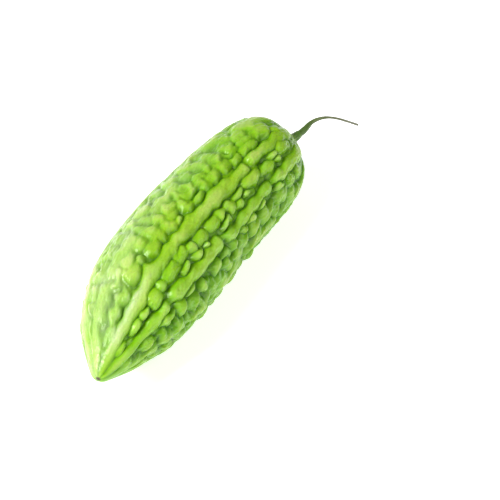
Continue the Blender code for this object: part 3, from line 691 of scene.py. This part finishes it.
def fruit_mesh():
    """The fruit's skin, as rings of points round its axis that close at the tip and at the neck."""
    skin = Skin()
    ring_along = np.arange(1, FINE_RINGS) / FINE_RINGS * skin.length
    round_degrees = np.arange(FINE_SEGMENTS) * 360 / FINE_SEGMENTS
    along, degrees = (grid.ravel() for grid in np.meshgrid(ring_along, round_degrees, indexing="ij"))
    along = np.concatenate([along, [0, skin.length]])
    degrees = np.concatenate([degrees, [0, 0]])
    axial, radius, out_axial, out_radial = skin.at(along)
    height = relief(along, degrees, skin)
    carved = crease_depth(along, degrees, skin.length) * (1 - height)
    rings = carved[:-2].reshape(FINE_RINGS - 1, FINE_SEGMENTS)
    hollow = np.append((rings - smoothed(rings, HOLLOW_REACH)).ravel() / HOLLOW_SCALE, [0, 0])
    carved += np.maximum(ripples(along, degrees, radius), -carved)
    points = place_on_axis(axial - out_axial * carved, radius - out_radial * carved, degrees)
    # the flat spots that the fruit rests on
    points[:, 2] = np.maximum(points[:, 2], 0)

    mesh = bpy.data.meshes.new("gourd_fruit")
    mesh.from_pydata(points.tolist(), [], fruit_faces())
    add_values(mesh, skin_values(along, degrees, radius, height, hollow, skin.length))
    turn = np.radians(degrees)
    straight = np.stack([along, radius * np.cos(turn), radius * np.sin(turn)], axis=-1)
    mesh.attributes.new("straight", "FLOAT_VECTOR", "POINT").data.foreach_set("vector", straight.ravel())
    mesh.flip_normals()
    mesh.shade_smooth()
    return mesh


def add_values(mesh, values):
    """Numbers for each point of a mesh, which its material reads by name."""
    for name, numbers in values.items():
        attribute = mesh.attributes.new(name, "FLOAT", "POINT")
        attribute.data.foreach_set("value", np.asarray(numbers, np.float32))


def new_material(name):
    made = bpy.data.materials.new(name)
    made.use_nodes = True
    return made, made.node_tree, made.node_tree.nodes["Principled BSDF"]


def read(tree, name, output="Fac"):
    node = tree.nodes.new("ShaderNodeAttribute")
    node.attribute_name = name
    return node.outputs[output]


def ramp(tree, value, stops):
    """The colour that a value from 0 to 1 picks between stops."""
    node = tree.nodes.new("ShaderNodeValToRGB")
    elements = node.color_ramp.elements
    elements[0].position, elements[0].color = stops[0][0], (*stops[0][1], 1)
    elements[1].position, elements[1].color = stops[-1][0], (*stops[-1][1], 1)
    for position, colour in stops[1:-1]:
        elements.new(position).color = (*colour, 1)
    tree.links.new(value, node.inputs["Fac"])
    return node.outputs["Color"]


def spread(tree, value, low, high, to_low=0.0, to_high=1.0):
    """A value brought from one range to another, and held inside that."""
    node = tree.nodes.new("ShaderNodeMapRange")
    for name, number in (("From Min", low), ("From Max", high), ("To Min", to_low), ("To Max", to_high)):
        node.inputs[name].default_value = number
    tree.links.new(value, node.inputs["Value"])
    return node.outputs["Result"]


def multiply(tree, first, second):
    node = tree.nodes.new("ShaderNodeMath")
    node.operation = "MULTIPLY"
    tree.links.new(first, node.inputs[0])
    tree.links.new(second, node.inputs[1])
    return node.outputs["Value"]


def noise(tree, place, size, stretch=1, detail=2):
    """Soft noise over the surface, with lumps about as large as size, and stretch times as long as that."""
    mapping = tree.nodes.new("ShaderNodeMapping")
    mapping.inputs["Scale"].default_value = (1 / (size * stretch), 1 / size, 1 / size)
    node = tree.nodes.new("ShaderNodeTexNoise")
    node.inputs["Scale"].default_value = 1
    node.inputs["Detail"].default_value = detail
    tree.links.new(place, mapping.inputs["Vector"])
    tree.links.new(mapping.outputs["Vector"], node.inputs["Vector"])
    return node.outputs["Fac"]


def blend(tree, first, second, amount, kind="MIX"):
    """Two colours mixed by an amount, where each is a node's output or a plain colour or number."""
    node = tree.nodes.new("ShaderNodeMix")
    node.data_type = "RGBA"
    node.blend_type = kind
    for socket, value in ((node.inputs[0], amount), (node.inputs[6], first), (node.inputs[7], second)):
        if isinstance(value, bpy.types.NodeSocket):
            tree.links.new(value, socket)
        else:
            socket.default_value = (*value, 1) if isinstance(value, tuple) else value
    return node.outputs[2]


def bump(tree, value, depth, under=None):
    """A bump of a depth in metres, on top of another bump if one is given."""
    node = tree.nodes.new("ShaderNodeBump")
    node.inputs["Distance"].default_value = depth
    tree.links.new(value, node.inputs["Height"])
    if under:
        tree.links.new(under, node.inputs["Normal"])
    return node.outputs["Normal"]


def skin_material():
    made, tree, shader = new_material("gourd_skin")
    link = tree.links.new
    place = read(tree, "straight", "Vector")
    # the ramp darkens the creases: partly the skin's own deeper green, partly painted shade
    colour = ramp(tree, read(tree, "height"), SKIN_AND_CREASE_SHADE_COLOURS)
    patches = noise(tree, place, PATCH_SIZE, stretch=1.6)
    colour = blend(tree, colour, PATCH_TINT, spread(tree, patches, *PATCH_RANGE), "MULTIPLY")
    # whitish bloom: partly the skin's own paler crests and side, partly painted sheen
    breaks = noise(tree, place, BLOOM_AND_SHEEN_SIZE, stretch=2.4, detail=4)
    bloom_and_sheen = multiply(tree, read(tree, "bloom_and_sheen"), spread(tree, breaks, *NOISE_RANGE, *BLOOM_AND_SHEEN_STRENGTH))
    colour = blend(tree, colour, BLOOM_AND_SHEEN_COLOUR, bloom_and_sheen)
    streaks = noise(tree, place, STREAK_SIZE, stretch=7, detail=3)
    streaks = spread(tree, streaks, *NOISE_RANGE, *STREAK_STRENGTH)
    colour = blend(tree, colour, STREAK_TINT, streaks, "MULTIPLY")
    # creases darkened further: partly a deeper green, partly painted shade
    creases = spread(tree, read(tree, "hollow"), *CREASE_RANGE, *CREASE_STRENGTH)
    colour = blend(tree, colour, CREASE_TINT_AND_SHADE, creases, "MULTIPLY")
    # painted shade on the far side and underneath
    colour = blend(tree, colour, UNDER_SHADE_TINT, read(tree, "under"), "MULTIPLY")
    colour = blend(tree, colour, NECK_COLOUR, read(tree, "neck"))
    colour = blend(tree, colour, SCAR_COLOUR, read(tree, "scar"))
    link(colour, shader.inputs["Base Color"])
    swells = bump(tree, noise(tree, place, SWELL_SIZE, stretch=1.7), SWELL_DEPTH)
    pores = bump(tree, noise(tree, place, PORE_SIZE, stretch=1.6), PORE_DEPTH, swells)
    link(pores, shader.inputs["Normal"])
    gloss = noise(tree, place, GLOSS_SIZE)
    link(spread(tree, gloss, *NOISE_RANGE, *SKIN_ROUGHNESS), shader.inputs["Roughness"])
    shader.inputs["Specular IOR Level"].default_value = SKIN_SPECULAR
    shader.inputs["Specular Tint"].default_value = SKIN_SPECULAR_TINT
    shader.inputs["Subsurface Weight"].default_value = SKIN_SUBSURFACE
    shader.inputs["Subsurface Radius"].default_value = SKIN_SUBSURFACE_RADIUS
    shader.inputs["Subsurface Scale"].default_value = SKIN_SUBSURFACE_SCALE
    return made


def neck_end():
    """The middle of the neck's end face, and the direction in which the axis leaves it."""
    end = Vector(place_on_axis(NECK_END, 0, 0))
    return end, Vector((1, bow(NECK_END)[1], 0)).normalized()


def stem_line():
    """Points down the middle of the stem, from its root to its cut end, and its radius at each."""
    end, direction = neck_end()
    path = smooth_curve(STEM_PATH, STEM_STEPS) * MM + np.array(end + direction * STEM_FIT_GAP)
    radii = smooth_curve([[r] for r in STEM_RADII], STEM_STEPS)[:, 0] * MM
    root = np.array([end - direction * STEM_ROOT_DEPTH])
    return np.vstack([root, path]), np.concatenate([radii[:1], radii])


def stem_ribs(angle, part, phases):
    """How far the ribs stand out at each angle, as a share of their height, part of the way along."""
    ribs = np.cos(STEM_RIBS * angle + STEM_RIB_TWIST * part + phases[0])
    fine_ribs = np.cos(STEM_FINE_RIBS * angle - STEM_FINE_RIB_TWIST * part + phases[1])
    return ribs + STEM_FINE_RIB_SHARE * fine_ribs


def stem_swell(run, phases):
    """How much thicker or thinner the stem is than even, at a length along it."""
    swell = 1
    for (height, length), phase in zip(STEM_SWELLS, phases):
        swell += height * math.sin(run / length + phase)
    return swell


def stem_mesh():
    """The stem as rings along its line, ribbed lengthwise, with a hollowed cut end."""
    path, radii = stem_line()
    draw = random.Random(SEED * 3)
    phases = [draw.uniform(0, 2 * math.pi) for _ in range(4)]
    length = np.concatenate([[0], np.cumsum(np.linalg.norm(np.diff(path, axis=0), axis=1))])
    tangents = np.gradient(path, axis=0)
    angle = np.linspace(0, 2 * math.pi, STEM_SEGMENTS, endpoint=False)
    bm = bmesh.new()
    parts = bm.verts.layers.float.new("along")
    heights = bm.verts.layers.float.new("height")
    straight = bm.verts.layers.float_vector.new("straight")
    rings = []
    side = Vector((0, 0, 1))
    for place, tangent, radius, run in zip(path, tangents, radii, length):
        ahead = Vector(tangent).normalized()
        side = (side - ahead * side.dot(ahead)).normalized()
        over = ahead.cross(side)
        part = run / length[-1]
        swell = stem_swell(run, phases[2:])
        fade = min(1, STEM_RIB_GROWTH * part + STEM_ROOT_RIB_SHARE)
        ring = []
        for turn, raised in zip(angle, stem_ribs(angle, part, phases)):
            reach = radius * swell * (1 + STEM_RIB_HEIGHT * raised * fade)
            vert = bm.verts.new(Vector(place) + (side * math.cos(turn) + over * math.sin(turn)) * reach)
            vert[parts] = part
            vert[heights] = raised
            vert[straight] = (run, radius * math.cos(turn), radius * math.sin(turn))
            ring.append(vert)
        rings.append(ring)
    for ring, following in zip(rings, rings[1:]):
        for i in range(STEM_SEGMENTS):
            j = (i + 1) % STEM_SEGMENTS
            bm.faces.new((ring[i], ring[j], following[j], following[i]))
    bm.faces.new(list(reversed(rings[0])))
    end_face = bm.faces.new(rings[-1])
    rim, hollow = radii[-1] * STEM_END_RIM, radii[-1] * STEM_END_HOLLOW
    bmesh.ops.inset_individual(bm, faces=[end_face], thickness=rim, depth=-hollow)
    bmesh.ops.recalc_face_normals(bm, faces=bm.faces)
    mesh = bpy.data.meshes.new("gourd_stem")
    bm.to_mesh(mesh)
    bm.free()
    mesh.shade_smooth()
    return mesh


def stem_material():
    made, tree, shader = new_material("gourd_stem")
    link = tree.links.new
    place = read(tree, "straight", "Vector")
    colour = ramp(tree, read(tree, "along"), STEM_COLOURS)
    fibres = spread(tree, noise(tree, place, FIBRE_SIZE, stretch=14, detail=3), *NOISE_RANGE)
    colour = blend(tree, colour, FIBRE_TINT, fibres, "MULTIPLY")
    # painted shade in the grooves between the ribs
    groove_shade = spread(tree, read(tree, "height"), -1, 1, GROOVE_SHADE_STRENGTH, 0)
    colour = blend(tree, colour, GROOVE_SHADE_TINT, groove_shade, "MULTIPLY")
    link(colour, shader.inputs["Base Color"])
    link(bump(tree, fibres, FIBRE_DEPTH), shader.inputs["Normal"])
    link(spread(tree, fibres, 0, 1, *STEM_ROUGHNESS), shader.inputs["Roughness"])
    return made


def make_stem():
    stem = bpy.data.objects.new("gourd_stem", stem_mesh())
    bpy.context.scene.collection.objects.link(stem)
    stem.data.materials.append(stem_material())
    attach(stem, "root")
    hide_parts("stem")


def make_fruit():
    fruit = bpy.data.objects.new("gourd_fruit", fruit_mesh())
    bpy.context.scene.collection.objects.link(fruit)
    fruit.data.materials.append(skin_material())
    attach(fruit, "root")
    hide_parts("fruit")


def camera_axes():
    """The directions from the fruit to the camera and to the camera's right."""
    azimuth, elevation = math.radians(CAMERA_AZIMUTH), math.radians(CAMERA_ELEVATION)
    back = Vector((math.sin(azimuth) * math.cos(elevation), -math.cos(azimuth) * math.cos(elevation),
                   math.sin(elevation)))
    right = Vector((math.cos(azimuth), math.sin(azimuth), 0))
    return back, right


def fruit_middle():
    along, across = CAMERA_MIDDLE
    return Vector((along * MM - REST_ALONG_AXIS, across * MM - REST_ACROSS_AXIS, AXIS_HEIGHT))


def make_camera():
    back, right = camera_axes()
    data = bpy.data.cameras.new("camera")
    data.lens = CAMERA_LENS_MM
    data.sensor_width = CAMERA_SENSOR_MM
    camera = bpy.data.objects.new("camera", data)
    camera.location = fruit_middle() + back * CAMERA_DISTANCE
    aim = fruit_middle() + right * CAMERA_AIM_RIGHT - camera.location
    camera.rotation_euler = aim.to_track_quat("-Z", "Y").to_euler()
    bpy.context.scene.collection.objects.link(camera)
    bpy.context.scene.camera = camera


def make_floor():
    bpy.ops.mesh.primitive_plane_add(size=FLOOR_SIZE)
    floor = bpy.context.object
    floor.name = "floor"
    made, _, shader = new_material("floor")
    shader.inputs["Base Color"].default_value = FLOOR_COLOUR
    shader.inputs["Roughness"].default_value = FLOOR_ROUGHNESS
    shader.inputs["Emission Color"].default_value = WHITE
    shader.inputs["Emission Strength"].default_value = FLOOR_GLOW
    floor.data.materials.append(made)


def make_light(name, toward, distance, size, power):
    data = bpy.data.lights.new(name, "AREA")
    data.size = size
    data.energy = power
    lamp = bpy.data.objects.new(name, data)
    lamp.location = fruit_middle() + toward.normalized() * distance
    lamp.rotation_euler = (-toward).to_track_quat("-Z", "Y").to_euler()
    bpy.context.scene.collection.objects.link(lamp)


def make_lights():
    back, right = camera_axes()
    for name, (to_camera, to_right, up), distance, size, power in LIGHTS:
        toward = back * to_camera + right * to_right + Vector((0, 0, up))
        make_light(name, toward, distance, size, power)


def make_world():
    world = bpy.data.worlds.new("studio")
    world.use_nodes = True
    background = world.node_tree.nodes["Background"]
    background.inputs["Color"].default_value = WHITE
    background.inputs["Strength"].default_value = WORLD_STRENGTH
    bpy.context.scene.world = world
    bpy.context.scene.view_settings.view_transform = "Standard"


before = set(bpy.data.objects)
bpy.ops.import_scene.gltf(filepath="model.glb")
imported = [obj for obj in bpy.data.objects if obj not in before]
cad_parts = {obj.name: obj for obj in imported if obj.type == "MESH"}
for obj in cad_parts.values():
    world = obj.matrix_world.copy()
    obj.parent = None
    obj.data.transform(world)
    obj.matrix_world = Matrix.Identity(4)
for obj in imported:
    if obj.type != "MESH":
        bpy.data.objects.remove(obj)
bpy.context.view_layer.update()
make_camera()
make_fruit()
make_stem()
make_floor()
make_lights()
make_world()
